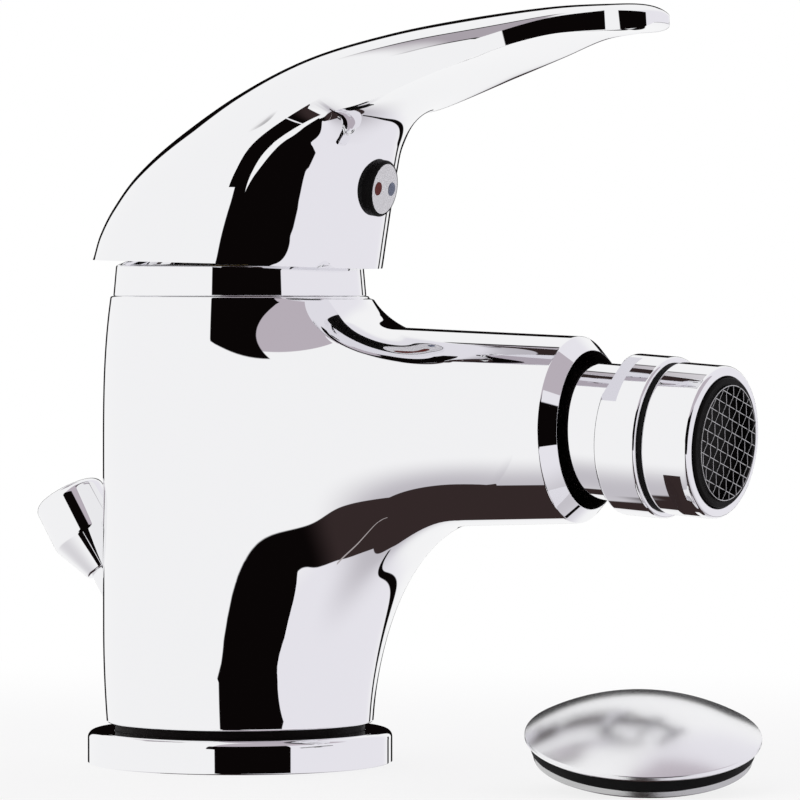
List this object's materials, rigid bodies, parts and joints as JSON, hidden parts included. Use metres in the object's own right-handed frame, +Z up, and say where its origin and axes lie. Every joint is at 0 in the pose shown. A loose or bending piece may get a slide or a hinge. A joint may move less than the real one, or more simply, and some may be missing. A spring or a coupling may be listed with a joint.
{
  "type": "bidet mixer",
  "caption": "Chrome single-lever bidet mixer with a ceramic-disc cartridge, a ball-jointed aerator outlet, a slanted pop-up rod and a loose waste plug.",
  "frame": {"origin": "centre of the base ring's underside, on the deck", "axes": "+X along the spout towards the user, +Z up along the body's axis, -Y the hot side"},
  "size_m": [0.1354, 0.0559, 0.1226],
  "materials": {
    "chrome": "polished chrome plate",
    "black_rubber": "matt",
    "ceramic": "lapped",
    "cartridge_plastic": "moulded",
    "rotor_plastic": "moulded",
    "brass": "machined",
    "steel": "bright drawn",
    "plug_white": "glossy",
    "hot_red": "glossy",
    "cold_blue": "glossy",
    "black_plastic": "moulded"
  },
  "bodies": {
    "mixer": {"body": "chrome", "base_ring": "chrome", "base_gasket": "black_rubber", "cartridge_base": "cartridge_plastic", "cartridge_seals": "black_rubber", "fixed_disc": "ceramic", "cartridge_housing": "cartridge_plastic", "cartridge_nut": "brass", "collar": "chrome", "rod_bush": "cartridge_plastic", "ball_nipple": "brass", "nipple_seal": "black_rubber"},
    "cartridge_rotor": {"rotor": "rotor_plastic", "stem_pin": "steel"},
    "disc": {"moving_disc": "ceramic", "disc_carrier": "rotor_plastic"},
    "handle": {"lever": "chrome", "stem": "brass", "grub_screw": "steel", "index_plug": "plug_white", "hot_mark": "hot_red", "cold_mark": "cold_blue"},
    "outlet_ring": {"ball_seal": "cartridge_plastic"},
    "outlet": {"swivel_socket": "chrome", "aerator_housing": "chrome", "aerator_gasket": "black_rubber", "aerator_insert": "black_plastic", "aerator_screen": "steel"},
    "pop_up_rod": {"pull_rod": "chrome", "rod_knob": "chrome"},
    "waste_plug": {"plug_dome": "chrome", "plug_seal": "black_rubber", "plug_stem": "steel"}
  },
  "joints": [
    {"name": "lever_turn", "type": "hinge", "parent": "mixer", "child": "cartridge_rotor", "pos_m": [0, 0, 0.075], "axis": [0, 0, 1], "range_deg": [-45, 45]},
    {"name": "lever_lift", "type": "hinge", "parent": "cartridge_rotor", "child": "handle", "pos_m": [0, 0, 0.075], "axis": [0, -1, 0], "range_deg": [0, 22]},
    {"name": "disc_slide", "type": "slide", "parent": "cartridge_rotor", "child": "disc", "axis": [1, 0, 0], "range_m": [0, 0.0034]},
    {"name": "outlet_pan", "type": "hinge", "parent": "mixer", "child": "outlet_ring", "pos_m": [0.064, 0, 0.0553], "axis": [0, 0, 1], "range_deg": [-6, 12]},
    {"name": "outlet_tilt", "type": "hinge", "parent": "outlet_ring", "child": "outlet", "pos_m": [0.064, 0, 0.0553], "axis": [0.0523, 0.9986, 0], "range_deg": [-15, 7]},
    {"name": "rod_pull", "type": "slide", "parent": "mixer", "child": "pop_up_rod", "axis": [-0.515, 0, 0.8572], "range_m": [0, 0.018]},
    {"name": "plug_draw", "type": "slide", "parent": "mixer", "child": "waste_plug", "axis": [0.5, -0.866, 0], "range_m": [0, 0.08]}
  ],
  "couplings": [
    {"joint": "disc_slide", "follows": "lever_lift", "m_per_rad": 0.0085}
  ]
}
